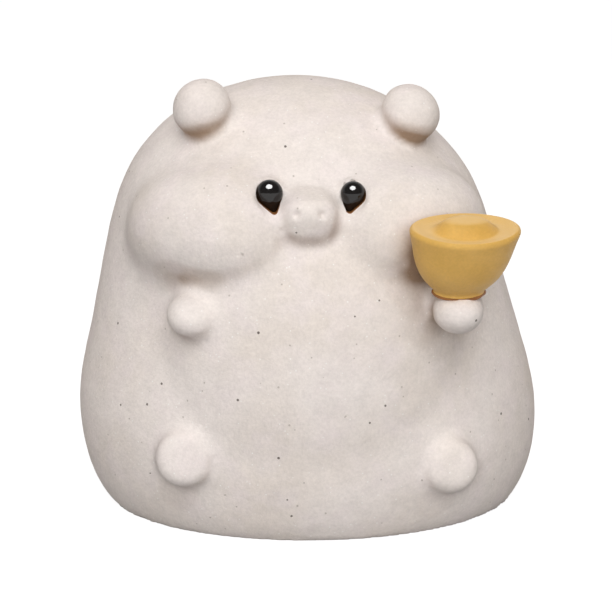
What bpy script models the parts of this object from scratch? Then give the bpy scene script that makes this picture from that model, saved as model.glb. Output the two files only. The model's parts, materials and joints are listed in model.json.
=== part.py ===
"""Pig figurine: a seated, gumdrop-shaped pig that holds a boat-shaped gold ingot on one hand.

The pig is one casting, shaped the way it was sculpted: lumps of clay are pressed together, their
seams are thumbed smooth, and then the eye sockets, nostrils, palm and base are cut. The ingot and
the two bead eyes are pieces of their own, set in with a film of glue.

Metres, +Z up. The pig faces -Y and sits on Z = 0, with the origin at the centre of its base.
Left and right are the pig's own, so its left side is at +X.
"""

import math

import bmesh
import bpy
from mathutils import Matrix, Vector
from mathutils.bvhtree import BVHTree

MM = 0.001

# Torso: the smallest convex form round a crown oval and a hip oval, turned and then squashed.
BODY_HEIGHT = 61.5 * MM
CROWN_HALF_WIDTH = 27.7 * MM
CROWN_HALF_HEIGHT = 24.5 * MM
HIP_HALF_WIDTH = 33.8 * MM
HIP_HEIGHT = 12.7 * MM
HIP_ROUND_ACROSS = 7.8 * MM
HIP_ROUND_UPRIGHT = 15.2 * MM
BODY_HALF_DEPTH = 26.5 * MM
CROWN_LEAN = 2.7 * MM

# Belly, and the jowls that overhang it.
BELLY_HALF_WIDTH = 23 * MM
BELLY_HALF_HEIGHT = 25 * MM
BELLY_HALF_DEPTH = 16 * MM
BELLY_HEIGHT = 22 * MM
BELLY_PROUD = 2.3 * MM
BELLY_FULLNESS = 2.5
BELLY_SAG = 1.08
JOWL_HALF_WIDTH = 11.2 * MM
JOWL_HALF_HEIGHT = 9 * MM
JOWL_HALF_DEPTH = 10 * MM
JOWL_SPACING = 26 * MM
JOWL_BELOW_CROWN = 19.3 * MM
JOWL_PROUD = 6.5 * MM
JOWL_FULLNESS = 2.6
JOWL_TRAIL = 1.35
JOWL_LEAN = math.radians(20)
JOWL_WRAP = math.radians(30)
JOWL_OFFSET = 0.6 * MM

# Snout and nostrils.
SNOUT_OFFSET = 0.4 * MM
SNOUT_HALF_WIDTH = 4 * MM
SNOUT_HALF_HEIGHT = 3.3 * MM
SNOUT_LENGTH = 8 * MM
SNOUT_ROUNDING = 2.6 * MM
SNOUT_SQUARENESS = 2.7
SNOUT_BELOW_CROWN = 16.3 * MM
SNOUT_PROUD = 5 * MM
SNOUT_DROOP = math.radians(15)
NOSTRIL_RADIUS = 0.55 * MM
NOSTRIL_SPACING = 3.3 * MM
NOSTRIL_ABOVE_AXIS = 0.7 * MM

# Bead eyes, drops that taper down to a round point, the left one smaller and set a little lower.
EYE_OFFSET = 0.8 * MM
EYE_DROP = 0.2 * MM
LEFT_EYE_RATIO = 0.93
EYE_RADIUS = 1.8 * MM
EYE_HALF_DEPTH = 1.35 * MM
EYE_POINT_RADIUS = 0.5 * MM
EYE_TAPER = 2.1 * MM
EYE_SPACING = 11 * MM
EYE_BELOW_CROWN = 13.8 * MM
EYE_PROUD = 0.9 * MM
EYE_SLANT = math.radians(15)
SOCKET_REACH = 3 * MM

# Ears, balls pressed on the crown a little to the front.
EAR_RADIUS = 4.4 * MM
EAR_HALF_THICKNESS = 3.9 * MM
EAR_OFFSET = 0.6 * MM
EAR_SPREAD = math.radians(35)
EAR_FORWARD = math.radians(27)
EAR_PROUD = 2.4 * MM

# The free arm is a nub, and the holding hand a short oval cone with a round end.
ARM_HALF_WIDTH = 4 * MM
ARM_HALF_HEIGHT = 3.1 * MM
ARM_HALF_LENGTH = 4 * MM
ARM_ACROSS = 0.46 * HIP_HALF_WIDTH
ARM_HEIGHT = 31.3 * MM
ARM_PROUD = 3.3 * MM
ARM_DROOP = math.radians(18)
HAND_ROOT_RADIUS = 3.3 * MM
HAND_ROOT_DEPTH = 4.5 * MM
HAND_ROOT_OUTWARD = 1.6 * MM
HAND_TIP_RADIUS = 3.7 * MM
HAND_TIP_HALF_HEIGHT = 3.2 * MM
HAND_ACROSS = 0.568 * HIP_HALF_WIDTH
HAND_HEIGHT = 32.7 * MM

# Feet, short drums with their soles to the front, the left one set lower.
FOOT_RADIUS = 4.1 * MM
FOOT_ROUNDING = 2 * MM
FOOT_LENGTH = 8 * MM
FOOT_ACROSS = 0.533 * HIP_HALF_WIDTH
FOOT_HEIGHT = 11.8 * MM
LEFT_FOOT_DROP = 1.6 * MM
FOOT_PROUD = 2.7 * MM
FOOT_TILT = math.radians(11)

# Tail, a tapered roll curled into an open ring on the rump.
TAIL_RADIUS = 1.4 * MM
TAIL_TIP_RADIUS = 0.9 * MM
TAIL_RING_RADIUS = 3.4 * MM
TAIL_TIP_RING_RADIUS = 1.9 * MM
TAIL_TURNS = 1.15
TAIL_PROUD = 1.2 * MM
TAIL_HEIGHT = 17 * MM

# Boat-shaped ingot.
INGOT_HALF_LENGTH = 7.45 * MM
INGOT_HALF_DEPTH = 4.9 * MM
INGOT_HEIGHT = 9.2 * MM
INGOT_WALL_BOW = 0.9 * MM
INGOT_BOW_DROP = 1.3
INGOT_RIM_RADIUS = 0.7 * MM
INGOT_FOOT_HALF_LENGTH = 3.5 * MM
INGOT_FOOT_HEIGHT = 0.4 * MM
INGOT_DISH_DEPTH = 0.3 * MM
INGOT_DOME_HALF_LENGTH = 4.6 * MM
INGOT_DOME_HEIGHT = 1.6 * MM
INGOT_DOME_FULLNESS = 2.6
INGOT_END_RISE = 0.3 * MM
INGOT_TILT = math.radians(16)
INGOT_TURN = math.radians(9)

# Fit: the glue between the pieces, the seat in the palm, and the air between ingot and cheek.
GLUE_FILM = 0.1 * MM
SEAT_DEPTH = 0.6 * MM
CHEEK_CLEARANCE = 0.3 * MM

# Clay: how coarse the skin is, and how round the seams are rubbed.
MASS_GRAIN = 0.8 * MM
CHEEK_ROUNDING = 2.9 * MM
BELLY_ROUNDING = 0.8 * MM
LIMB_GRAIN = 0.5 * MM
LIMB_ROUNDING = 0.35 * MM
RUBBING = 0.5
BODY_TRIANGLES = 7600

OUTLINE_STEPS = 32
TURNING_STEPS = 48
BEAD_OUTLINE_STEPS = 14
BEAD_TURNING_STEPS = 24
MERGE_DISTANCE = 0.00001
CREASE_ANGLE = math.radians(35)

SANDY_CLAY = ((0.80, 0.75, 0.69, 1), 0.75)
MATTE_GOLD = ((0.78, 0.50, 0.16, 1), 0.5)
BLACK_BEAD = ((0.01, 0.01, 0.01, 1), 0.08)


def clear_scene():
    for obj in list(bpy.data.objects):
        bpy.data.objects.remove(obj)


def new_collection(name, shown):
    collection = bpy.data.collections.new(name)
    collection.hide_render = not shown
    bpy.context.scene.collection.children.link(collection)
    return collection


def new_object(name, mesh, collection):
    obj = bpy.data.objects.new(name, mesh)
    collection.objects.link(obj)
    return obj


def shown_mesh(obj):
    """A copy of an object's mesh with its modifiers applied."""
    bpy.context.view_layer.update()
    graph = bpy.context.evaluated_depsgraph_get()
    return bpy.data.meshes.new_from_object(obj.evaluated_get(graph))


def apply_modifiers(obj):
    shaped = shown_mesh(obj)
    obj.modifiers.clear()
    obj.data = shaped


def skin_of(obj):
    """The object's surface, ready to be probed with rays."""
    bpy.context.view_layer.update()
    return BVHTree.FromObject(obj, bpy.context.evaluated_depsgraph_get())


def aim(obj, facing):
    """Turns an object's Z along a direction, with its Y kept as upright as it can be."""
    obj.rotation_mode = "QUATERNION"
    obj.rotation_quaternion = facing.to_track_quat("Z", "Y")


def hull_outline(ovals, steps=OUTLINE_STEPS):
    """(radius, height) points of the smallest convex form round some ovals, from its top to its
    bottom. An oval is (centre radius, centre height, half-width, half-height). The walk follows the
    direction that the outline faces, and the oval that reaches furthest that way gives the point."""
    outline = []
    for step in range(steps + 1):
        facing = math.pi * (0.5 - step / steps)
        out, up = math.cos(facing), math.sin(facing)
        reached = []
        for radius, height, half_width, half_height in ovals:
            length = math.hypot(half_width * out, half_height * up)
            point = (radius + half_width**2 * out / length, height + half_height**2 * up / length)
            reached.append((radius * out + height * up + length, point))
        outline.append(max(reached)[1])
    return outline


def ball(name, centre, half_sizes, collection, segments=48):
    mesh = bpy.data.meshes.new(name)
    form = bmesh.new()
    bmesh.ops.create_uvsphere(form, u_segments=segments, v_segments=segments // 2, radius=1)
    bmesh.ops.transform(form, matrix=Matrix.Diagonal((*half_sizes, 1)), verts=form.verts)
    form.to_mesh(mesh)
    form.free()
    obj = new_object(name, mesh, collection)
    obj.location = centre
    return obj


def turned(name, outline, collection, squash=1.0, steps=TURNING_STEPS):
    """A form turned from (radius, height) points that run from top to bottom, squashed along Y."""
    closed = [(0, outline[0][1]), *outline, (0, outline[-1][1])]
    profile = bpy.data.meshes.new(name)
    edges = [(i, i + 1) for i in range(len(closed) - 1)]
    profile.from_pydata([(radius, 0, height) for radius, height in closed], edges, [])
    obj = new_object(name, profile, collection)
    weld = obj.modifiers.new("weld", "WELD")
    weld.merge_threshold = MERGE_DISTANCE
    screw = obj.modifiers.new("turn", "SCREW")
    screw.steps = screw.render_steps = steps
    screw.use_merge_vertices = True
    screw.merge_threshold = MERGE_DISTANCE
    apply_modifiers(obj)
    obj.data.transform(Matrix.Diagonal((1, squash, 1, 1)))
    return obj


def round_cone(name, root, tip, root_radius, tip_radius, squash, collection):
    """A short cone with round ends, between two centres, made oval by a squash of its height."""
    axis = tip - root
    ends = [(0, 0, root_radius, root_radius), (0, axis.length, tip_radius, tip_radius)]
    obj = turned(name, hull_outline(ends), collection, squash)
    obj.location = root
    aim(obj, axis)
    return obj


def drum(name, half_width, half_height, length, rounding, collection):
    """A short oval drum that lies along its own Z, its front at Z = 0 and its edges well rounded."""
    rim = half_width - rounding
    ends = [(rim, -rounding, rounding, rounding), (rim, rounding - length, rounding, rounding)]
    return turned(name, hull_outline(ends), collection, half_height / half_width)


def kneaded(name, lumps, collection, grain, seam_rounding):
    """One skin round all the lumps, with the seams between them rubbed round."""
    bpy.context.view_layer.update()
    clay = bmesh.new()
    for lump in lumps:
        pressed = lump.data.copy()
        pressed.transform(lump.matrix_world)
        clay.from_mesh(pressed)
        bpy.data.meshes.remove(pressed)
    mesh = bpy.data.meshes.new(name)
    clay.to_mesh(mesh)
    clay.free()
    obj = new_object(name, mesh, collection)
    skin = obj.modifiers.new("skin", "REMESH")
    skin.mode = "VOXEL"
    skin.voxel_size = grain
    rub = obj.modifiers.new("rub", "SMOOTH")
    rub.factor = RUBBING
    rub.iterations = max(1, round(2 * (seam_rounding / grain) ** 2 / RUBBING))
    apply_modifiers(obj)
    return obj


def lightened(obj, triangles):
    """Fewer faces where the surface is calm."""
    obj.data.calc_loop_triangles()
    light = obj.modifiers.new("lighten", "DECIMATE")
    light.ratio = triangles / len(obj.data.loop_triangles)
    apply_modifiers(obj)


def cut(obj, cutters):
    boolean = obj.modifiers.new("cut", "BOOLEAN")
    boolean.operation = "DIFFERENCE"
    boolean.operand_type = "COLLECTION"
    boolean.collection = cutters
    apply_modifiers(obj)


def middle(height):
    """X of the middle of the leaning body at a height."""
    return -CROWN_LEAN * height / BODY_HEIGHT


def front_of(clay, across, height):
    """The foremost point of the clay at a place across from the leaning middle and up."""
    start = Vector((middle(height) + across, -3 * BODY_HALF_DEPTH, height))
    return clay.ray_cast(start, Vector((0, 1, 0)))[0]


def back_of(clay, across, height):
    start = Vector((middle(height) + across, 3 * BODY_HALF_DEPTH, height))
    return clay.ray_cast(start, Vector((0, -1, 0)))[0]


def torso(lumps):
    crown = (0, BODY_HEIGHT - CROWN_HALF_HEIGHT, CROWN_HALF_WIDTH, CROWN_HALF_HEIGHT)
    hip = (HIP_HALF_WIDTH - HIP_ROUND_ACROSS, HIP_HEIGHT, HIP_ROUND_ACROSS, HIP_ROUND_UPRIGHT)
    obj = turned("torso", hull_outline([crown, hip]), lumps, BODY_HALF_DEPTH / HIP_HALF_WIDTH)
    lean = Matrix.Identity(4)
    lean[0][2] = -CROWN_LEAN / BODY_HEIGHT
    obj.data.transform(lean)
    return obj


def filled_out(obj, half_height, upward, fullness):
    """Swells a ball above its middle (upward = 1) or below it (-1), towards a squarer section."""
    for vertex in obj.data.vertices:
        up = upward * vertex.co.z / half_height
        if up > 0:
            out = math.sqrt(max(0, 1 - up**2))
            vertex.co /= (out**fullness + up**fullness) ** (1 / fullness)


def belly(torso_skin, lumps):
    """An oval mass, full right up to the snout, that sags towards the base."""
    front = front_of(torso_skin, 0, BELLY_HEIGHT)
    centre = front + Vector((0, BELLY_HALF_DEPTH - BELLY_PROUD, 0))
    obj = ball("belly", centre, (BELLY_HALF_WIDTH, BELLY_HALF_DEPTH, BELLY_HALF_HEIGHT), lumps)
    filled_out(obj, BELLY_HALF_HEIGHT, 1, BELLY_FULLNESS)
    for vertex in obj.data.vertices:
        vertex.co.z *= BELLY_SAG if vertex.co.z < 0 else 1
    return obj


def jowl(side, torso_skin, lumps):
    """A full, hanging cheek that wraps round the side of the face and trails off outward."""
    across = JOWL_OFFSET + side * JOWL_SPACING / 2
    front = front_of(torso_skin, across, BODY_HEIGHT - JOWL_BELOW_CROWN)
    wrap = Matrix.Rotation(side * JOWL_WRAP, 4, "Z")
    centre = front + wrap @ Vector((0, JOWL_HALF_DEPTH - JOWL_PROUD, 0))
    obj = ball("jowl", centre, (JOWL_HALF_WIDTH, JOWL_HALF_DEPTH, JOWL_HALF_HEIGHT), lumps)
    filled_out(obj, JOWL_HALF_HEIGHT, -1, JOWL_FULLNESS)
    for vertex in obj.data.vertices:
        vertex.co.x *= JOWL_TRAIL if vertex.co.x * side > 0 else 1
    obj.rotation_euler = (-JOWL_LEAN, 0, side * JOWL_WRAP)
    return obj


def trunk(lumps):
    """The torso with its jowls rubbed softly in, and then the belly pushed up against them."""
    plain_torso = torso(lumps)
    torso_skin = skin_of(plain_torso)
    jowls = [jowl(side, torso_skin, lumps) for side in (-1, 1)]
    upper = kneaded("upper", [plain_torso, *jowls], lumps, MASS_GRAIN, CHEEK_ROUNDING)
    return kneaded("trunk", [upper, belly(torso_skin, lumps)], lumps, MASS_GRAIN, BELLY_ROUNDING)


def snout(trunk_skin, lumps):
    """A drooping oval drum with slightly squared sides."""
    facing = Vector((0, -math.cos(SNOUT_DROOP), -math.sin(SNOUT_DROOP)))
    obj = drum("snout", SNOUT_HALF_WIDTH, SNOUT_HALF_HEIGHT, SNOUT_LENGTH, SNOUT_ROUNDING, lumps)
    for vertex in obj.data.vertices:
        across, up = abs(vertex.co.x) / SNOUT_HALF_WIDTH, abs(vertex.co.y) / SNOUT_HALF_HEIGHT
        if across + up > 0:
            squared = (across**SNOUT_SQUARENESS + up**SNOUT_SQUARENESS) ** (1 / SNOUT_SQUARENESS)
            vertex.co.xy *= math.hypot(across, up) / squared
    face = front_of(trunk_skin, SNOUT_OFFSET, BODY_HEIGHT - SNOUT_BELOW_CROWN)
    obj.location = face + facing * SNOUT_PROUD
    aim(obj, facing)
    return obj


def ear(side, trunk_skin, lumps):
    facing = Vector((math.tan(side * EAR_SPREAD), -math.tan(EAR_FORWARD), 1)).normalized()
    crown_height = BODY_HEIGHT - CROWN_HALF_HEIGHT
    crown_centre = Vector((middle(crown_height) + EAR_OFFSET, 0, crown_height))
    root = trunk_skin.ray_cast(crown_centre + facing * 2 * BODY_HEIGHT, -facing)[0]
    obj = ball("ear", root + facing * EAR_PROUD, (EAR_RADIUS, EAR_RADIUS, EAR_HALF_THICKNESS), lumps)
    aim(obj, facing)
    return obj


def arm(trunk_skin, lumps):
    """The free right arm, an oval nub that points forward and a little down."""
    front = front_of(trunk_skin, -ARM_ACROSS, ARM_HEIGHT)
    droop = Matrix.Rotation(ARM_DROOP, 4, "X")
    centre = front + droop @ Vector((0, ARM_HALF_LENGTH - ARM_PROUD, 0))
    obj = ball("arm", centre, (ARM_HALF_WIDTH, ARM_HALF_LENGTH, ARM_HALF_HEIGHT), lumps)
    obj.rotation_euler.x = ARM_DROOP
    return obj


def holding_hand(palm, trunk_skin, lumps):
    """The left arm, which starts inside the trunk and ends right under the ingot."""
    tip = palm - Vector((0, 0, HAND_TIP_HALF_HEIGHT))
    skin = front_of(trunk_skin, HAND_ACROSS + HAND_ROOT_OUTWARD, HAND_HEIGHT)
    root = skin + Vector((0, HAND_ROOT_DEPTH, 0))
    squash = HAND_TIP_HALF_HEIGHT / HAND_TIP_RADIUS
    return round_cone("hand", root, tip, HAND_ROOT_RADIUS, HAND_TIP_RADIUS, squash, lumps)


def foot(side, trunk_skin, lumps):
    """A stub foot, its sole to the front and tipped up a little."""
    facing = Vector((0, -math.cos(FOOT_TILT), math.sin(FOOT_TILT)))
    height = FOOT_HEIGHT - (LEFT_FOOT_DROP if side > 0 else 0)
    obj = drum("foot", FOOT_RADIUS, FOOT_RADIUS, FOOT_LENGTH, FOOT_ROUNDING, lumps)
    obj.location = front_of(trunk_skin, side * FOOT_ACROSS, height) + facing * FOOT_PROUD
    aim(obj, facing)
    return obj


def tail(trunk_skin, lumps):
    """A roll of clay that leaves the rump and curls inward over its own root."""
    steps = 30
    rump = back_of(trunk_skin, 0, TAIL_HEIGHT)
    roll = bpy.data.curves.new("tail", "CURVE")
    roll.dimensions = "3D"
    roll.bevel_depth = TAIL_RADIUS
    roll.bevel_resolution = 3
    roll.use_fill_caps = True
    spline = roll.splines.new("POLY")
    spline.points.add(steps)
    for step, point in enumerate(spline.points):
        share = step / steps
        turn = 2 * math.pi * TAIL_TURNS * share
        ring = TAIL_RING_RADIUS + (TAIL_TIP_RING_RADIUS - TAIL_RING_RADIUS) * share
        place = rump + Vector((ring * math.sin(turn), TAIL_PROUD * share, ring * math.cos(turn)))
        point.co = (*place, 1)
        point.radius = 1 + (TAIL_TIP_RADIUS / TAIL_RADIUS - 1) * share
    guide = new_object("tail_line", roll, lumps)
    obj = new_object("tail", shown_mesh(guide), lumps)
    obj.matrix_world = guide.matrix_world
    bpy.data.objects.remove(guide)
    weld_caps(obj.data)
    return obj


def weld_caps(mesh):
    form = bmesh.new()
    form.from_mesh(mesh)
    bmesh.ops.remove_doubles(form, verts=form.verts, dist=MERGE_DISTANCE)
    form.to_mesh(mesh)
    form.free()


def bead(name, side, trunk_skin, film, collection):
    """A drop-shaped bead eye, or with a film of glue round it the form of its pocket."""
    height = BODY_HEIGHT - EYE_BELOW_CROWN - side * EYE_DROP / 2
    front = front_of(trunk_skin, EYE_OFFSET + side * EYE_SPACING / 2, height)
    ratio = LEFT_EYE_RATIO if side > 0 else 1
    radius = ratio * EYE_RADIUS + film
    round_end = (0, 0, radius, radius)
    pointed_end = (0, -ratio * EYE_TAPER, EYE_POINT_RADIUS + film, EYE_POINT_RADIUS + film)
    outline = hull_outline([round_end, pointed_end], BEAD_OUTLINE_STEPS)
    squash = (EYE_HALF_DEPTH + film) / radius
    obj = turned(name, outline, collection, squash, BEAD_TURNING_STEPS)
    obj.location = front + Vector((0, EYE_HALF_DEPTH - EYE_PROUD, 0))
    obj.rotation_euler.y = side * EYE_SLANT
    return obj


def eye_socket(side, trunk_skin, cutters):
    """The bead's pocket, which stays open to the front where the cheek stands over the bead."""
    obj = bead("eye_socket", side, trunk_skin, GLUE_FILM, cutters)
    for vertex in obj.data.vertices:
        if vertex.co.y < -MERGE_DISTANCE:
            vertex.co.y -= SOCKET_REACH


def nostril(side, body_skin, cutters):
    height = BODY_HEIGHT - SNOUT_BELOW_CROWN + NOSTRIL_ABOVE_AXIS
    place = front_of(body_skin, SNOUT_OFFSET + side * NOSTRIL_SPACING / 2, height)
    ball("nostril", place, (NOSTRIL_RADIUS, NOSTRIL_RADIUS, NOSTRIL_RADIUS), cutters, segments=12)


def ingot_outline():
    """(radius, height) points of the ingot along its length, from the dome down to the foot."""
    steps = 8
    dish = INGOT_HEIGHT - INGOT_DISH_DEPTH
    outline = []
    for step in range(steps + 1):
        share = step / steps
        swell = (1 + math.cos(math.pi * share**INGOT_DOME_FULLNESS)) / 2
        outline.append((INGOT_DOME_HALF_LENGTH * share, dish + INGOT_DOME_HEIGHT * swell))
    rim_centre = Vector((INGOT_HALF_LENGTH - INGOT_RIM_RADIUS, INGOT_HEIGHT - INGOT_RIM_RADIUS))
    for step in range(steps + 1):
        angle = math.radians(100 - 115 * step / steps)
        outline.append(rim_centre + INGOT_RIM_RADIUS * Vector((math.cos(angle), math.sin(angle))))
    wall_top = outline[-1]
    wall_foot = Vector((INGOT_FOOT_HALF_LENGTH, INGOT_FOOT_HEIGHT))
    chord = wall_foot - wall_top
    outward = Vector((-chord.y, chord.x)).normalized()
    for step in range(1, steps + 1):
        share = step / steps
        bow = INGOT_WALL_BOW * math.sin(math.pi * share**INGOT_BOW_DROP)
        outline.append(wall_top + chord * share + outward * bow)
    outline.append((INGOT_FOOT_HALF_LENGTH, 0))
    return outline


def ingot(trunk_skin, parts):
    """The ingot, tipped forward, turned a little outward, and slid back until it is just clear of
    the cheek."""
    obj = turned("gold_ingot", ingot_outline(), parts, INGOT_HALF_DEPTH / INGOT_HALF_LENGTH)
    for vertex in obj.data.vertices:
        along = vertex.co.x / INGOT_HALF_LENGTH
        vertex.co.z *= 1 + INGOT_END_RISE / INGOT_HEIGHT * along**2
    foot_height = HAND_HEIGHT + HAND_TIP_HALF_HEIGHT - SEAT_DEPTH + GLUE_FILM
    foot_middle = Vector((middle(HAND_HEIGHT) + HAND_ACROSS, 0, foot_height))
    turn = Matrix.Rotation(INGOT_TURN, 4, "Z") @ Matrix.Rotation(INGOT_TILT, 4, "X")
    pose = Matrix.Translation(foot_middle) @ turn
    room = []
    for vertex in obj.data.vertices:
        point = pose @ vertex.co
        clay = front_of(trunk_skin, point.x - middle(point.z), point.z)
        if clay:
            room.append(clay.y - CHEEK_CLEARANCE - point.y)
    obj.matrix_world = Matrix.Translation((0, min(room), 0)) @ pose
    return obj


def palm_seat(gold_ingot, cutters):
    """The shallow oval flat in the hand that the ingot's foot is glued into."""
    reach = INGOT_FOOT_HALF_LENGTH + GLUE_FILM
    outline = [(reach, HAND_TIP_RADIUS), (reach, -GLUE_FILM)]
    obj = turned("palm_seat", outline, cutters, INGOT_HALF_DEPTH / INGOT_HALF_LENGTH)
    obj.matrix_world = gold_ingot.matrix_world


def below_floor(cutters):
    """Everything below the floor, whose cut leaves the flat base."""
    side = 4 * HIP_HALF_WIDTH
    mesh = bpy.data.meshes.new("below_floor")
    form = bmesh.new()
    bmesh.ops.create_cube(form, size=side)
    form.to_mesh(mesh)
    form.free()
    obj = new_object("below_floor", mesh, cutters)
    obj.location = (0, 0, -side / 2)


def pig_body(plain_trunk, gold_ingot, parts, lumps, cutters):
    trunk_skin = skin_of(plain_trunk)
    palm = gold_ingot.matrix_world @ Vector((0, 0, SEAT_DEPTH - GLUE_FILM))
    limbs = [snout(trunk_skin, lumps), tail(trunk_skin, lumps)]
    limbs += [arm(trunk_skin, lumps), holding_hand(palm, trunk_skin, lumps)]
    for side in (-1, 1):
        limbs += [ear(side, trunk_skin, lumps), foot(side, trunk_skin, lumps)]
    body = kneaded("pig_body", [plain_trunk, *limbs], parts, LIMB_GRAIN, LIMB_ROUNDING)
    lightened(body, BODY_TRIANGLES)
    body_skin = skin_of(body)
    for side in (-1, 1):
        eye_socket(side, trunk_skin, cutters)
        nostril(side, body_skin, cutters)
    palm_seat(gold_ingot, cutters)
    below_floor(cutters)
    cut(body, cutters)
    return body


def painted(obj, finish):
    colour, roughness = finish
    material = bpy.data.materials.new(obj.name)
    material.use_nodes = True
    shader = material.node_tree.nodes["Principled BSDF"]
    shader.inputs["Base Color"].default_value = colour
    shader.inputs["Roughness"].default_value = roughness
    shader.inputs["Metallic"].default_value = 0
    obj.data.materials.clear()
    obj.data.materials.append(material)
    obj.data.shade_smooth()
    obj.data.set_sharp_from_angle(angle=CREASE_ANGLE)


def main():
    clear_scene()
    parts = new_collection("pig_figurine", shown=True)
    lumps = new_collection("clay_lumps", shown=False)
    cutters = new_collection("cutters", shown=False)
    plain_trunk = trunk(lumps)
    trunk_skin = skin_of(plain_trunk)
    gold_ingot = ingot(trunk_skin, parts)
    painted(gold_ingot, MATTE_GOLD)
    painted(pig_body(plain_trunk, gold_ingot, parts, lumps, cutters), SANDY_CLAY)
    painted(bead("left_eye", 1, trunk_skin, 0, parts), BLACK_BEAD)
    painted(bead("right_eye", -1, trunk_skin, 0, parts), BLACK_BEAD)
    bpy.context.view_layer.update()
    for helper in [*lumps.objects, *cutters.objects]:
        helper.hide_render = True
        helper.display_type = "WIRE"


main()
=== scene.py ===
"""Looks of the pig figurine: sandy clay, bead eyes and a matte gold ingot, on a pale floor.

Metres, +Z up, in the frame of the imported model. The pig faces -Y, and its own left is at +X.
"""

import json
import math
import random

import bmesh
import bpy
import numpy as np
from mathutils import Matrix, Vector, noise
from mathutils.bvhtree import BVHTree
from mathutils.kdtree import KDTree

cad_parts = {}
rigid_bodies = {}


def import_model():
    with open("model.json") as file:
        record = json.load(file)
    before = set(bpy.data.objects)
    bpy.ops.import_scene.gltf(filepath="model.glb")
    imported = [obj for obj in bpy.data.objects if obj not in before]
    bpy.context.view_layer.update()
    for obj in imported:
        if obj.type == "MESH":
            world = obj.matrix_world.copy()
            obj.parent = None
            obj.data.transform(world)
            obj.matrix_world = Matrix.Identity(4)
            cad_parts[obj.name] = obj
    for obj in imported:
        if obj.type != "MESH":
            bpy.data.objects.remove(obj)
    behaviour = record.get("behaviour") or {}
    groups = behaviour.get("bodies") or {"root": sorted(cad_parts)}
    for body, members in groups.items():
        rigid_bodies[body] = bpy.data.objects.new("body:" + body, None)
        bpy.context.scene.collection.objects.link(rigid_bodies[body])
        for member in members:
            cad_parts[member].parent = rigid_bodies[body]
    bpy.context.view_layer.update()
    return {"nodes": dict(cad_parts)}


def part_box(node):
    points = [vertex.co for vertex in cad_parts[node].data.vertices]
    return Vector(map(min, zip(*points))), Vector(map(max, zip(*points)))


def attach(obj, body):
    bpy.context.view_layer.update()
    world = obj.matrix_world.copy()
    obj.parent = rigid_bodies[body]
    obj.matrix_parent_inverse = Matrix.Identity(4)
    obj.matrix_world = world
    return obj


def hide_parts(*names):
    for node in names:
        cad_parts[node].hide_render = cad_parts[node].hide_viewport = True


MM = 0.001
WHITE = (1, 1, 1, 1)

# Sandy clay. Specks are given as their spacing, the share of places filled, and their radius in
# spacings.
WARM_CLAY = (0.83, 0.76, 0.71, 1)
PALE_CLAY = (0.88, 0.82, 0.79, 1)
ROSY_CLAY = (0.87, 0.795, 0.78, 1)
# Mica flakes are painted near-white as glints, and their smoother polish is real.
PAINTED_GLINT_WHITE = (1, 0.99, 0.97, 1)
MICA_SPACING = 0.36 * MM
FLECK_BROWN = (0.30, 0.25, 0.21, 1)
FLECKS = (1.7 * MM, 0.35, 0.085)
GRIT_BLACK = (0.10, 0.08, 0.07, 1)
GRITS = (3.3 * MM, 0.5, 0.055)
# Brown multiplied into the clay as painted shade in creases and under overhangs.
PAINTED_SHADE_BROWN = (0.42, 0.32, 0.235, 1)
CLAY_ROUGHNESS = 0.85
MICA_POLISH = 0.55
CLAY_RELIEF = 0.09 * MM

# Gold paint, beads and glue.
DEEP_GOLD = (0.68, 0.40, 0.09, 1)
BRIGHT_GOLD = (0.76, 0.46, 0.12, 1)
# Paler gold painted on faces that point up, as painted sheen.
PAINTED_SHEEN_GOLD = (0.84, 0.56, 0.22, 1)
GOLD_RELIEF = 0.035 * MM
BEAD_BLACK = (0.006, 0.005, 0.005, 1)
BEAD_HAZE = (0.014, 0.012, 0.011, 1)
DARK_GLUE = (0.16, 0.055, 0.02, 1)
THIN_GLUE = (0.45, 0.20, 0.06, 1)

# Corners closer than the weld are one, and edges sharper than this angle stay crisp.
WELD = 0.001 * MM
SHARP_ANGLE = math.radians(35)

# Clay skin: how fine its mesh is, how it is rubbed all over, and the waves that hands leave in it,
# as (size, depth). The base below its edge stays flat.
SKIN_GRAIN = 0.5 * MM
SKIN_RUB_PASSES = 4
SKIN_RUB_WEIGHT = 0.5
CLAY_WAVES = ((11 * MM, 0.25 * MM), (3.5 * MM, 0.11 * MM), (1.4 * MM, 0.045 * MM))
GOLD_WAVES = ((6 * MM, 0.12 * MM), (2 * MM, 0.05 * MM))
BASE_EDGE = 0.05 * MM

# Clay round the bead eyes.
PLUG_GROWTH = 0.3 * MM
PLUG_SECTOR = math.radians(10)
PLUG_MARGIN = 0.15 * MM
PLUG_FRONT = 0.5 * MM
POCKET_FILM = 0.04 * MM
POCKET_REACH = 3 * MM
FACE_ZONE = 3.2 * MM

# Dents reach this many of their own radii out. Faces under them are split and rounded first.
DENT_REACH = 2.5
SPLIT_ROUNDING = 0.3

# Nostrils, pressed in with a round tool.
NOSTRIL_PLACES = (Vector((-3.55, -33, 45.55)) * MM, Vector((0.05, -33, 45.55)) * MM)
NOSTRIL_RADIUS = 0.5 * MM
NOSTRIL_DEPTH = 0.5 * MM
SNOUT_ZONE = 2.2 * MM

# Tiny pits left by air in the mould.
PITS = 70
PIT_SEED = 7
PIT_RADIUS = 0.2 * MM
PIT_DEPTH = 0.12 * MM
PIT_ZONE = 0.5 * MM
LOWEST_PIT = 2 * MM

# Places that a thumb has rubbed smooth: over the snout, under the eyes and below each foot. A zone
# is rubbed in full over its inner third, and less and less from there to its edge.
RUBBED_ZONES = (
    (Vector((-1.7, -24.5, 50)) * MM, 3.2 * MM),
    (Vector((-6.6, -22.3, 44.8)) * MM, 2.4 * MM),
    (Vector((3.6, -22.3, 44.8)) * MM, 2.4 * MM),
    (Vector((-19, -28.5, 7.5)) * MM, 5 * MM),
    (Vector((18.5, -28, 6)) * MM, 5 * MM),
)
RUB_PASSES = 30
RUB_FADE = 1.5

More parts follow.
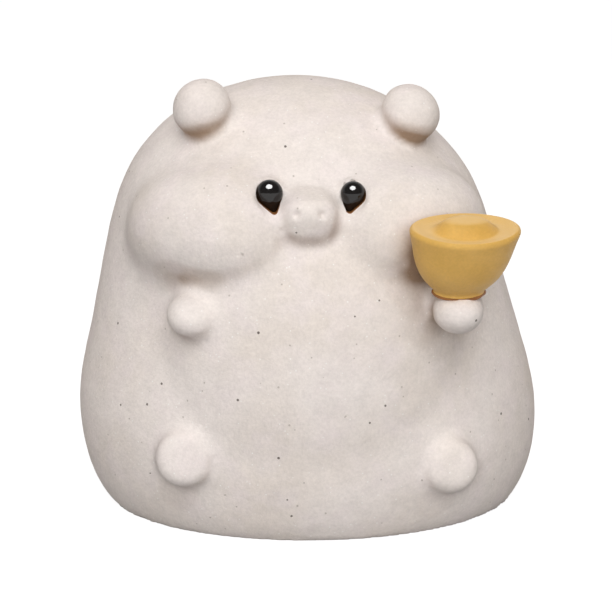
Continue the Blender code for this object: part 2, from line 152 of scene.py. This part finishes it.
# Snout, drawn down and a little wider: where it is held, how far that reaches, and the shift.
SNOUT_PULLS = (
    (Vector((-1.7, -31, 42)) * MM, 4 * MM, Vector((0, -0.1, -1.5)) * MM),
    (Vector((-6, -29.5, 44)) * MM, 3.2 * MM, Vector((-1.2, 0, 0)) * MM),
    (Vector((2.8, -29.5, 44)) * MM, 3.2 * MM, Vector((0.9, 0, 0)) * MM),
)

# Painted shade in creases, under overhangs and under the ingot: rays from each corner find how
# closely clay shuts it in, and the colour is painted darker and browner there. Clay whose normal
# rises more than the tilt gets no painted shade.
CREASE_RAYS = 12
CREASE_REACH = 6 * MM
CREASE_START = 0.1 * MM
CREASE_TILT = 0.5
CREASE_PASSES = 3
GOLDEN_ANGLE = math.pi * (3 - math.sqrt(5))

# Ingot's foot: faces that point down this much, and lie this nearly in one plane.
FOOT_FACING = -0.9
FOOT_FLATNESS = 0.9999
FOOT_ROUNDING = 0.01 * MM

# Glue squeezed out round the foot: a roll, uneven, and fuller at the foot's two ends.
GLUE_RADIUS = 0.24 * MM
GLUE_LEAST = 0.75
GLUE_MORE_AT_ENDS = 0.5
GLUE_UNEVENNESS = 0.9
GLUE_WAVE = 1.1 * MM
GLUE_DROP = 0.15 * MM
GLUE_TUCK = 0.12 * MM
GLUE_STEPS = 72
GLUE_SIDES = 8

# Floor, where the camera sees its own glow and the light on it.
FLOOR_SIDE = 6
FLOOR_GLOW = 0.89
FLOOR_GREY = (0.3, 0.3, 0.3, 1)

# Room: the light from all round, and how dark reflections find the side in front of the pig.
AMBIENT = 0.43
WARM_LIGHT = (1, 0.93, 0.86, 1)
DARK_SIDE = (0, -0.8, 0.6)
DARK_EDGE = 0.4
DARK_LEVEL = 0.12

# Lamps: azimuth and elevation in degrees, distance and width in metres, and watts.
KEY_LAMP = (-3, 48, 0.7, 0.5, 1.95)
FRONT_LAMP = (-3, 15, 0.9, 0.5, 2.75)
CATCH_LAMP = (-3, 48, 0.68, 0.5, 13)
CATCH_LAMP_HEIGHT = 0.45

# Camera, fitted to the outline in the photograph: degrees, metres, and millimetres for the lens.
CAMERA_VIEW = (-3, 13)
CAMERA_DISTANCE = 0.260
TARGET = Vector((-0.87, 0, 27.57)) * MM
LENS = 105
SENSOR = 36
NEAREST = 0.01
FARTHEST = 20


class Field:
    """A value that changes over a surface. Sums on fields add their Math nodes."""

    def __init__(self, socket):
        self.socket = socket

    def reckoned(self, operation, first, second):
        tree = self.socket.id_data
        node = tree.nodes.new("ShaderNodeMath")
        node.operation = operation
        for slot, value in zip(node.inputs, (first, second)):
            if isinstance(value, Field):
                tree.links.new(value.socket, slot)
            else:
                slot.default_value = value
        return Field(node.outputs[0])

    def __add__(self, other):
        return self.reckoned("ADD", self, other)

    def __radd__(self, other):
        return self.reckoned("ADD", other, self)

    def __sub__(self, other):
        return self.reckoned("SUBTRACT", self, other)

    def __rsub__(self, other):
        return self.reckoned("SUBTRACT", other, self)

    def __mul__(self, other):
        return self.reckoned("MULTIPLY", self, other)

    def __rmul__(self, other):
        return self.reckoned("MULTIPLY", other, self)

    def __gt__(self, other):
        return self.reckoned("GREATER_THAN", self, other)

    def __lt__(self, other):
        return self.reckoned("LESS_THAN", self, other)


class Nodes:
    """A node tree, built node by node."""

    def __init__(self, owner):
        owner.use_nodes = True
        self.tree = owner.node_tree
        self.tree.nodes.clear()

    def node(self, kind, settings=(), sockets=(), output=0):
        """A node with its settings made first, then its sockets set or linked. Gives an output."""
        node = self.tree.nodes.new(kind)
        for name, value in dict(settings).items():
            setattr(node, name, value)
        for name, value in dict(sockets).items():
            if isinstance(value, Field):
                self.tree.links.new(value.socket, node.inputs[name])
            else:
                node.inputs[name].default_value = value
        return Field(node.outputs[output]) if node.outputs else None

    def ray(self, kind):
        return self.node("ShaderNodeLightPath", output="Is " + kind + " Ray")

    def spread(self, value, low, high, new_low=0, new_high=1):
        """Stretches low..high to new_low..new_high, and holds it there."""
        sockets = {"Value": value, "From Min": low, "From Max": high}
        sockets.update({"To Min": new_low, "To Max": new_high})
        return self.node("ShaderNodeMapRange", sockets=sockets)

    def mixed(self, share, first, second, blend="MIX"):
        """Colours mixed by a share from 0 to 1. Sockets 6 and 7 of a Mix node hold its colours."""
        settings = {"data_type": "RGBA", "blend_type": blend}
        return self.node("ShaderNodeMix", settings, {0: share, 6: first, 7: second}, output=2)


class Finish(Nodes):
    """The nodes of a material."""

    def __init__(self, name):
        self.material = bpy.data.materials.new(name)
        super().__init__(self.material)

    def place(self):
        return self.node("ShaderNodeTexCoord", output="Object")

    def share(self, name):
        """A share from 0 to 1 that the mesh carries on its corners."""
        return self.node("ShaderNodeAttribute", {"attribute_name": name}, output="Fac")

    def noise(self, size, detail=2, roughness=0.5):
        sockets = {"Vector": self.place(), "Scale": 1 / size}
        sockets.update({"Detail": detail, "Roughness": roughness})
        return self.node("ShaderNodeTexNoise", sockets=sockets)

    def cells(self, size, output):
        sockets = {"Vector": self.place(), "Scale": 1 / size}
        return self.node("ShaderNodeTexVoronoi", sockets=sockets, output=output)

    def part_of(self, colour, channel):
        return self.node("ShaderNodeSeparateColor", sockets={"Color": colour}, output=channel)

    def specks(self, spacing, share, radius):
        """Round specks in a share of the cells, whose radius is a share of the spacing."""
        chosen = self.part_of(self.cells(spacing, "Color"), "Green") < share
        return chosen * (self.cells(spacing, "Distance") < radius)

    def shaded(self, tint, value):
        """A tint made darker or lighter by a plain value."""
        sockets = {"Red": value, "Green": value, "Blue": value}
        grey = self.node("ShaderNodeCombineColor", sockets=sockets)
        return self.mixed(1, tint, grey, "MULTIPLY")

    def bumped(self, height, depth):
        return self.node("ShaderNodeBump", sockets={"Height": height, "Distance": depth})

    def done(self, **sockets):
        names = {name.replace("_", " "): value for name, value in sockets.items()}
        shader = self.node("ShaderNodeBsdfPrincipled", sockets=names)
        self.node("ShaderNodeOutputMaterial", sockets={"Surface": shader})
        return self.material


def sandy_clay():
    """Off-white cast stone: soft mottling, a fine sand grain, mica flakes with painted glints, sparse
    specks, and painted shade in the creases.
    """
    finish = Finish("sandy_clay")
    clouds = finish.spread(finish.noise(14 * MM), 0.35, 0.65)
    blush = finish.spread(finish.noise(5 * MM, 3), 0.45, 0.75)
    tint = finish.mixed(clouds, WARM_CLAY, PALE_CLAY)
    tint = finish.mixed(blush, tint, ROSY_CLAY)
    sand = finish.noise(0.45 * MM, 3, 0.7)
    shade = finish.spread(sand, 0.25, 0.75, 0.9, 1.05)
    blotch = finish.spread(finish.noise(2.2 * MM, 3, 0.6), 0.3, 0.7, 0.95, 1.03)
    tint = finish.shaded(tint, shade * blotch)
    # Mica flakes: near-white painted glints in the colour, and a real smoother polish in the
    # roughness.
    mica_and_painted_glint = finish.part_of(finish.cells(MICA_SPACING, "Color"), "Red") > 0.97
    mica_and_painted_glint = mica_and_painted_glint * (finish.cells(MICA_SPACING, "Distance") < 0.3)
    tint = finish.mixed(mica_and_painted_glint * 0.6, tint, PAINTED_GLINT_WHITE)
    fleck = finish.specks(*FLECKS)
    grit = finish.specks(*GRITS)
    tint = finish.mixed(fleck * 0.45, tint, FLECK_BROWN)
    tint = finish.mixed(grit * 0.85, tint, GRIT_BLACK)
    # Painted shade: the clay is darkened towards brown where it is shut in and faces down.
    crease_painted_shade = finish.spread(finish.share("crease"), 0.03, 0.42)
    tint = finish.mixed(crease_painted_shade, tint, PAINTED_SHADE_BROWN, "MULTIPLY")
    lumps = finish.noise(1.1 * MM, 3)
    height = sand * 0.6 + lumps * 0.8 - grit * 0.7 - fleck * 0.3
    return finish.done(
        Base_Color=tint,
        Roughness=CLAY_ROUGHNESS - mica_and_painted_glint * MICA_POLISH,
        Normal=finish.bumped(height, CLAY_RELIEF),
        IOR=1.45,
    )


def matte_gold():
    """Matte ochre paint, a little uneven in tone and gloss, with a painted sheen that makes it paler
    where it faces up.
    """
    finish = Finish("matte_gold")
    tone = finish.spread(finish.noise(3.5 * MM, 3), 0.3, 0.7)
    tint = finish.mixed(tone, DEEP_GOLD, BRIGHT_GOLD)
    grain = finish.noise(0.35 * MM, 2)
    tint = finish.shaded(tint, finish.spread(grain, 0.3, 0.7, 0.95, 1.03))
    # Painted sheen: faces that point up are painted paler, as where light falls on the top.
    facing = finish.node("ShaderNodeNewGeometry", output="Normal")
    upward = finish.node("ShaderNodeSeparateXYZ", sockets={"Vector": facing}, output="Z")
    tint = finish.mixed(finish.spread(upward, 0.75, 1), tint, PAINTED_SHEEN_GOLD)
    wear = finish.noise(1.5 * MM, 3)
    return finish.done(
        Base_Color=tint,
        Roughness=finish.spread(wear, 0.3, 0.7, 0.42, 0.55),
        Normal=finish.bumped(grain + finish.noise(1.6 * MM), GOLD_RELIEF),
    )


def black_bead():
    """Polished black, with the faintest haze in the polish."""
    finish = Finish("black_bead")
    haze = finish.noise(0.8 * MM, 3)
    return finish.done(
        Base_Color=finish.mixed(haze, BEAD_BLACK, BEAD_HAZE),
        Roughness=finish.spread(haze, 0.3, 0.7, 0.05, 0.12),
    )


def brown_glue():
    """Dried glue, orange-brown where it is thin."""
    finish = Finish("brown_glue")
    thin = finish.noise(0.9 * MM, 2)
    return finish.done(
        Base_Color=finish.mixed(thin, DARK_GLUE, THIN_GLUE),
        Roughness=finish.spread(thin, 0.3, 0.7, 0.35, 0.6),
    )


def linked(name, data):
    """A new object in the scene."""
    obj = bpy.data.objects.new(name, data)
    bpy.context.scene.collection.objects.link(obj)
    return obj


def formed(name, form):
    """A new object from finished mesh work."""
    mesh = bpy.data.meshes.new(name)
    form.to_mesh(mesh)
    form.free()
    return linked(name, mesh)


def copied(node, name):
    """A copy of a CAD node's mesh in an object of its own."""
    mesh = node.data.copy()
    mesh.materials.clear()
    return linked(name, mesh)


def shaped(obj, *modifiers):
    """Applies modifiers, each given as its type and its settings."""
    for kind, settings in modifiers:
        modifier = obj.modifiers.new(kind.lower(), kind)
        for name, value in settings.items():
            setattr(modifier, name, value)
    bpy.context.view_layer.update()
    graph = bpy.context.evaluated_depsgraph_get()
    mesh = bpy.data.meshes.new_from_object(obj.evaluated_get(graph))
    obj.modifiers.clear()
    obj.data = mesh
    return obj


def edit(obj, work):
    """Runs some mesh work on an object's mesh."""
    form = bmesh.new()
    form.from_mesh(obj.data)
    work(form)
    form.to_mesh(obj.data)
    form.free()


def welded_and_creased(form):
    """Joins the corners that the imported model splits, and marks the crisp edges to be kept."""
    bmesh.ops.remove_doubles(form, verts=form.verts, dist=WELD)
    crease = form.edges.layers.float.new("crease_edge")
    for edge in form.edges:
        if edge.is_manifold and edge.calc_face_angle() > SHARP_ANGLE:
            edge[crease] = 1


def smoothed(obj, levels):
    edit(obj, welded_and_creased)
    return shaped(obj, ("SUBSURF", {"levels": levels, "render_levels": levels}))


def grown(obj, film):
    """Moves every corner outward by a film."""
    edit(obj, welded_and_creased)
    for vertex, normal in zip(obj.data.vertices, normals_of(obj)):
        vertex.co += normal * film
    return obj


def normals_of(obj):
    return [Vector(vertex.normal) for vertex in obj.data.vertices]


def joined(name, objects):
    clay = bmesh.new()
    for obj in objects:
        clay.from_mesh(obj.data)
        bpy.data.objects.remove(obj)
    return formed(name, clay)


def kept_inside(obj, box):
    for vertex in obj.data.vertices:
        vertex.co = [min(max(value, low), high) for value, low, high in zip(vertex.co, *box)]


def hand_worn(obj, waves):
    """Presses soft hand-made waves into the surface, always inward, but not into the base."""
    for vertex, normal in zip(obj.data.vertices, normals_of(obj)):
        if vertex.co.z > BASE_EDGE:
            shares = [deep * (1 + noise.noise(vertex.co / size)) / 2 for size, deep in waves]
            vertex.co -= normal * sum(shares)


def evened(mesh, columns, passes, weight=1.0):
    """Evens out values kept on a mesh's corners with those of their neighbours."""
    count = len(mesh.vertices)
    ends = np.empty(2 * len(mesh.edges), dtype=np.int64)
    mesh.edges.foreach_get("vertices", ends)
    first, second = ends.reshape(-1, 2).T
    neighbours = np.bincount(ends, minlength=count)
    for _ in range(passes):
        for line in columns:
            sums = np.bincount(first, line[second], count)
            sums = sums + np.bincount(second, line[first], count)
            line += weight * (sums / neighbours - line) / 2


def rubbed(obj, zones):
    """Rubs some zones smoother, given as (centre, radius)."""
    mesh = obj.data
    places = np.empty(3 * len(mesh.vertices))
    mesh.vertices.foreach_get("co", places)
    columns = places.reshape(-1, 3).T.copy()
    weight = np.zeros(len(mesh.vertices))
    for centre, radius in zones:
        away = np.linalg.norm(columns.T - np.array(centre), axis=1) / radius
        weight = np.maximum(weight, np.clip(RUB_FADE - RUB_FADE * away, 0, 1))
    evened(mesh, columns, RUB_PASSES, weight)
    mesh.vertices.foreach_set("co", columns.T.ravel())
    mesh.update()


def pulled(obj, pulls):
    """Draws the clay round some places along, given as (place, reach, shift)."""
    for vertex in obj.data.vertices:
        start = vertex.co.copy()
        for place, reach, shift in pulls:
            away = (start - place).length / reach
            if away < 1:
                vertex.co += shift * (1 - away**2) ** 2


def spread_rays(count):
    """Directions over a half-sphere round Z, denser towards Z."""
    rays = []
    for step in range(count):
        share = (step + 0.5) / count
        level, turn = math.sqrt(share), step * GOLDEN_ANGLE
        rays.append(Vector((level * math.cos(turn), level * math.sin(turn), math.sqrt(1 - share))))
    return rays


def tree_of(*meshes):
    """One search tree over the faces of some meshes."""
    corners, faces = [], []
    for mesh in meshes:
        first = len(corners)
        corners += [vertex.co for vertex in mesh.vertices]
        faces += [[first + index for index in face.vertices] for face in mesh.polygons]
    return BVHTree.FromPolygons(corners, faces)


def marked_painted_crease_shade(obj, neighbour):
    """Stores on each corner how closely the clay and a neighbour shut it in, as a share from 0 to 1,
    which the clay's colour turns into painted shade. Clay that faces up gets no painted shade."""
    mesh = obj.data
    skin = tree_of(mesh, neighbour.data)
    rays = spread_rays(CREASE_RAYS)
    shares = np.zeros(len(mesh.vertices))
    for vertex in mesh.vertices:
        level = min(1, CREASE_TILT - vertex.normal.z)
        if level > 0:
            turn = vertex.normal.to_track_quat("Z", "Y")
            start = vertex.co + vertex.normal * CREASE_START
            met = [ray for ray in rays if skin.ray_cast(start, turn @ ray, CREASE_REACH)[0]]
            shares[vertex.index] = level * len(met) / CREASE_RAYS
    evened(mesh, [shares], CREASE_PASSES)
    crease = mesh.attributes.new("crease", "FLOAT", "POINT")
    crease.data.foreach_set("value", shares.astype(np.float32))


def places_tree(corners):
    """A search tree over some corners."""
    tree = KDTree(len(corners))
    for corner in corners:
        tree.insert(corner.co, corner.index)
    tree.balance()
    return tree


def split(form, zones):
    """Splits the faces with a corner in some zones, given as (centre, radius)."""
    form.verts.ensure_lookup_table()
    tree = places_tree(form.verts)
    near = {index for zone in zones for _, index, _ in tree.find_range(*zone)}
    edges = [edge for edge in form.edges if any(vertex.index in near for vertex in edge.verts)]
    bmesh.ops.subdivide_edges(
        form, edges=edges, cuts=1, use_grid_fill=True, smooth=SPLIT_ROUNDING
    )


def refined(obj, zones):
    """Splits the faces that lie in some zones, given as (centre, radius, times)."""
    for level in range(max(times for _, _, times in zones)):
        left = [(centre, radius) for centre, radius, times in zones if times > level]
        edit(obj, lambda form, left=left: split(form, left))


def dented(obj, dents):
    """Presses round dents, given as (centre, radius, depth), straight into the surface."""
    tree = places_tree(obj.data.vertices)
    normals = normals_of(obj)
    for centre, radius, depth in dents:
        _, middle, _ = tree.find(centre)
        for _, index, distance in tree.find_range(centre, DENT_REACH * radius):
            share = math.exp(-((distance / radius) ** 2))
            obj.data.vertices[index].co -= normals[middle] * depth * share


def skin_tree(obj):
    return BVHTree.FromObject(obj, bpy.context.evaluated_depsgraph_get())


def on_skin(skin, place):
    """The point of the skin straight behind a place in front of it."""
    return skin.ray_cast(place, Vector((0, 1, 0)))[0]


def middle_of(node):
    return sum(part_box(node.name), Vector()) / 2


def eye_plug(node, skin):
    """Clay that fills an eye socket level with the skin around it."""
    plug = grown(copied(node, node.name + "_plug"), PLUG_GROWTH)
    middle = middle_of(node)
    rim = {}
    for vertex in plug.data.vertices:
        arm = vertex.co - middle
        arm.y = 0
        sector = round(math.atan2(arm.z, arm.x) / PLUG_SECTOR)
        if arm.length > rim.get(sector, Vector()).length:
            rim[sector] = arm
    beside = [middle + arm * (1 + PLUG_MARGIN / arm.length) for arm in rim.values()]
    beside = [on_skin(skin, Vector((place.x, -1, place.z))) for place in beside]
    across = [(place.x, place.z, 1) for place in beside]
    slope = np.linalg.lstsq(across, [place.y for place in beside])[0]
    for vertex in plug.data.vertices:
        if vertex.co.y < middle.y:
            level = slope @ (vertex.co.x, vertex.co.z, 1)
            vertex.co.y = max(level, middle.y - PLUG_FRONT)
    return plug


def bead_pocket(node, glue):
    """The form of a bead's hole: the bead in a film of glue, drawn out to the front."""
    pocket = grown(smoothed(copied(node, "pocket"), 1), POCKET_FILM)
    middle = middle_of(node)
    for vertex in pocket.data.vertices:
        if vertex.co.y < middle.y - POCKET_FILM:
            vertex.co.y -= POCKET_REACH
    pocket.data.materials.append(glue)
    return pocket


def plain_casting(node, eyes):
    """The casting with its sockets filled, rubbed soft, and drawn out at the snout."""
    body = smoothed(copied(node, "clay_skin"), 2)
    skin = skin_tree(body)
    plugs = [eye_plug(eye, skin) for eye in eyes]
    body = joined("clay_body", [body, *plugs])
    shaped(
        body,
        ("REMESH", {"mode": "VOXEL", "voxel_size": SKIN_GRAIN}),
        ("SMOOTH", {"factor": SKIN_RUB_WEIGHT, "iterations": SKIN_RUB_PASSES}),
    )
    rubbed(body, RUBBED_ZONES)
    pulled(body, SNOUT_PULLS)
    return body


def pressed(body, eyes):
    """Presses the hand-made waves, the nostrils and the air pits into the clay."""
    skin = skin_tree(body)
    nostrils = [on_skin(skin, place) for place in NOSTRIL_PLACES]
    draw = random.Random(PIT_SEED)
    pits = [Vector(draw.choice(body.data.vertices).co) for _ in range(PITS)]
    pits = [place for place in pits if place.z > LOWEST_PIT]
    zones = [(middle_of(eye), FACE_ZONE, 1) for eye in eyes]
    zones += [(place, SNOUT_ZONE, 2) for place in nostrils]
    zones += [(place, PIT_ZONE, 2) for place in pits]
    refined(body, zones)
    hand_worn(body, CLAY_WAVES)
    dents = [(place, NOSTRIL_RADIUS, NOSTRIL_DEPTH) for place in nostrils]
    dents += [(place, PIT_RADIUS, PIT_DEPTH) for place in pits]
    dented(body, dents)


def clay_body(nodes, finish, glue):
    """The casting, worn by hand, whose clay closes round the beads."""
    eyes = [nodes[name] for name in ("left_eye", "right_eye")]
    body = plain_casting(nodes["pig_body"], eyes)
    # Paints shade into the creases, also where the ingot hangs over the hand.
    marked_painted_crease_shade(body, nodes["gold_ingot"])
    pressed(body, eyes)
    kept_inside(body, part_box("pig_body"))
    body.data.materials.append(finish)
    for eye in eyes:
        pocket = bead_pocket(eye, glue)
        cut = {"operation": "DIFFERENCE", "object": pocket, "solver": "EXACT"}
        shaped(body, ("BOOLEAN", {**cut, "material_mode": "TRANSFER"}))
        bpy.data.objects.remove(pocket)
    body.data.shade_smooth()
    body.data.set_sharp_from_angle(angle=SHARP_ANGLE)
    return body


def ingot(nodes, finish):
    piece = smoothed(copied(nodes["gold_ingot"], "ingot"), 1)
    hand_worn(piece, GOLD_WAVES)
    kept_inside(piece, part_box("gold_ingot"))
    piece.data.materials.append(finish)
    piece.data.shade_smooth()
    piece.data.set_sharp_from_angle(angle=SHARP_ANGLE)
    return piece


def foot_of(node):
    """The ingot's flat foot: its middle, the way it faces, and its two half-axes."""
    mesh = node.data
    low_faces = [face for face in mesh.polygons if face.normal.z < FOOT_FACING]
    facing = max(low_faces, key=lambda face: face.area).normal.copy()
    flat = [face for face in low_faces if face.normal.dot(facing) > FOOT_FLATNESS]
    corners = [mesh.vertices[index].co for face in flat for index in face.vertices]
    places = {
        tuple(round(value / FOOT_ROUNDING) * FOOT_ROUNDING for value in corner)
        for corner in corners
    }
    middle = sum((Vector(place) for place in places), Vector()) / len(places)
    arms = [Vector(place) - middle for place in places]
    along = max(arms, key=lambda arm: arm.length)
    across = facing.cross(along.normalized())
    return middle, facing, along, across * max(abs(arm.dot(across)) for arm in arms)


def glue_rings(form, foot):
    """Rings of corners round the foot's edge, each ring a cut through the roll of glue."""
    middle, facing, along, across = foot
    rings = []
    for step in range(GLUE_STEPS):
        angle = 2 * math.pi * step / GLUE_STEPS
        arm = along * math.cos(angle) + across * math.sin(angle)
        outward = arm.normalized()
        edge = middle + arm - outward * GLUE_TUCK + facing * GLUE_DROP
        uneven = 1 + GLUE_UNEVENNESS * noise.noise(edge / GLUE_WAVE)
        fuller = GLUE_LEAST + GLUE_MORE_AT_ENDS * math.cos(angle) ** 2
        radius = GLUE_RADIUS * uneven * fuller
        ring = []
        for turn in range(GLUE_SIDES):
            around = 2 * math.pi * turn / GLUE_SIDES
            way = outward * math.cos(around) - facing * math.sin(around)
            ring.append(form.verts.new(edge + way * radius))
        rings.append(ring)
    return rings


def foot_glue(nodes, finish):
    """An uneven roll of glue squeezed out round the ingot's foot, where it meets the palm."""
    form = bmesh.new()
    rings = glue_rings(form, foot_of(nodes["gold_ingot"]))
    for ring, following in zip(rings, rings[1:] + rings[:1]):
        for turn in range(GLUE_SIDES):
            after = (turn + 1) % GLUE_SIDES
            form.faces.new((ring[turn], ring[after], following[after], following[turn]))
    bmesh.ops.recalc_face_normals(form, faces=form.faces)
    roll = formed("foot_glue", form)
    shaped(roll, ("SUBSURF", {"levels": 1, "render_levels": 1}))
    roll.data.materials.append(finish)
    roll.data.shade_smooth()
    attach(roll, "root")


def bead(nodes, name, finish):
    piece = smoothed(copied(nodes[name], name + "_bead"), 1)
    piece.data.materials.append(finish)
    piece.data.shade_smooth()
    return piece


def settled(piece, node):
    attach(piece, "root")
    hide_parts(node)


def pale_floor():
    """A grey floor that the camera sees as white, apart from the shadow on it."""
    form = bmesh.new()
    bmesh.ops.create_grid(form, x_segments=1, y_segments=1, size=FLOOR_SIDE / 2)
    floor = formed("floor", form)
    finish = Finish("pale_floor")
    seen = finish.ray("Camera") + finish.ray("Glossy") + finish.ray("Transmission")
    sockets = {"Color": WHITE, "Strength": seen * FLOOR_GLOW}
    glow = finish.node("ShaderNodeEmission", sockets=sockets)
    plain = finish.node("ShaderNodeBsdfDiffuse", sockets={"Color": FLOOR_GREY})
    both = finish.node("ShaderNodeAddShader", sockets={0: glow, 1: plain})
    finish.node("ShaderNodeOutputMaterial", sockets={"Surface": both})
    floor.data.materials.append(finish.material)


def white_surround():
    """A world that the camera sees as white, and that lights the object softly. Reflections see it
    white too, but for the dark part of the room in front of the object."""
    world = bpy.data.worlds.new("surround")
    bpy.context.scene.world = world
    room = Nodes(world)
    way = room.node("ShaderNodeTexCoord", output="Generated")
    dot = {"operation": "DOT_PRODUCT"}
    to_front = room.node("ShaderNodeVectorMath", dot, {0: way, 1: DARK_SIDE}, output="Value")
    backdrop = room.spread(to_front, 0, DARK_EDGE, 1, DARK_LEVEL)
    seen = room.ray("Camera") + room.ray("Transmission")
    mirrored = room.ray("Glossy")
    strength = seen + mirrored * backdrop + (1 - seen - mirrored) * AMBIENT
    colour = room.mixed(seen + mirrored, WARM_LIGHT, WHITE)
    back = room.node("ShaderNodeBackground", sockets={"Color": colour, "Strength": strength})
    room.node("ShaderNodeOutputWorld", sockets={"Surface": back})


def aimed(obj, azimuth, elevation, distance):
    """Places a lamp or the camera, seen from the figurine's middle in degrees, and turns it there."""
    azimuth, elevation = math.radians(azimuth), math.radians(elevation)
    level = math.cos(elevation)
    back = Vector((math.sin(azimuth) * level, -math.cos(azimuth) * level, math.sin(elevation)))
    obj.location = TARGET + back * distance
    obj.rotation_mode = "QUATERNION"
    obj.rotation_quaternion = (-back).to_track_quat("-Z", "Y")


def softbox(name, azimuth, elevation, distance, size, watts):
    """A round lamp that faces the middle of the figurine and shows in no reflection."""
    lamp = bpy.data.lights.new(name, "AREA")
    lamp.shape = "DISK"
    lamp.size = size
    lamp.energy = watts
    obj = linked(name, lamp)
    obj.visible_glossy = False
    aimed(obj, azimuth, elevation, distance)
    return obj


def catch_light(beads):
    """A lamp that only the bead eyes mirror, and that lights nothing."""
    obj = softbox("catch_light", *CATCH_LAMP)
    obj.data.shape = "ELLIPSE"
    obj.data.size_y = CATCH_LAMP_HEIGHT
    obj.visible_glossy = True
    obj.visible_diffuse = False
    mirrors = bpy.data.collections.new("mirrors")
    for piece in beads:
        mirrors.objects.link(piece)
    obj.light_linking.receiver_collection = mirrors


def camera():
    data = bpy.data.cameras.new("camera")
    data.lens = LENS
    data.sensor_width = SENSOR
    data.clip_start = NEAREST
    data.clip_end = FARTHEST
    obj = linked("camera", data)
    aimed(obj, *CAMERA_VIEW, CAMERA_DISTANCE)
    bpy.context.scene.camera = obj


def main():
    for obj in list(bpy.data.objects):
        bpy.data.objects.remove(obj)
    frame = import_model()
    nodes = frame["nodes"]
    glue = brown_glue()
    bead_finish = black_bead()
    body = clay_body(nodes, sandy_clay(), glue)
    settled(body, "pig_body")
    settled(ingot(nodes, matte_gold()), "gold_ingot")
    foot_glue(nodes, glue)
    beads = [bead(nodes, name, bead_finish) for name in ("left_eye", "right_eye")]
    settled(beads[0], "left_eye")
    settled(beads[1], "right_eye")
    pale_floor()
    white_surround()
    softbox("key", *KEY_LAMP)
    softbox("front", *FRONT_LAMP)
    catch_light(beads)
    camera()
    bpy.context.scene.view_settings.view_transform = "Standard"


main()
